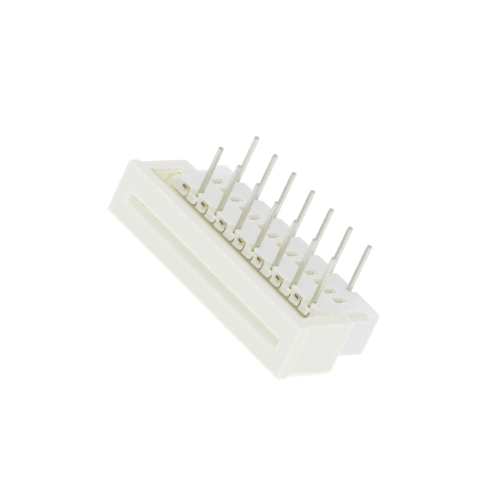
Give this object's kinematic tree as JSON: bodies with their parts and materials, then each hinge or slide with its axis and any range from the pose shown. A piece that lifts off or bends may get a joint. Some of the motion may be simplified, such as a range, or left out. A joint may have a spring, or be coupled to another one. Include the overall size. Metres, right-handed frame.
{
  "type": "fpc connector",
  "caption": "Right angle connector for a flat flexible cable, with a pull out slider and two staggered rows of through hole tails.",
  "frame": {"origin": "centre of the bounding box in X and Y, at the flange's underside in Z", "axes": "+X along the pitch, +Y from the cable entry to the rear wall, +Z towards the board side and the tail tips"},
  "size_m": [0.023, 0.0098, 0.009],
  "materials": {
    "housing": "warm white moulded nylon",
    "slider": "warm white moulded nylon",
    "contact": "tin plated phosphor bronze"
  },
  "bodies": {
    "housing": {"housing": "housing", "contact_front_1": "contact", "contact_front_2": "contact", "contact_front_3": "contact", "contact_front_4": "contact", "contact_front_5": "contact", "contact_front_6": "contact", "contact_front_7": "contact", "contact_rear_1": "contact", "contact_rear_2": "contact", "contact_rear_3": "contact", "contact_rear_4": "contact", "contact_rear_5": "contact", "contact_rear_6": "contact", "contact_rear_7": "contact"},
    "slider": {"slider": "slider"}
  },
  "joints": [
    {"name": "slider_slide", "type": "slide", "parent": "housing", "child": "slider", "axis": [0, 1, 0], "range_m": [0, 0.002]}
  ]
}
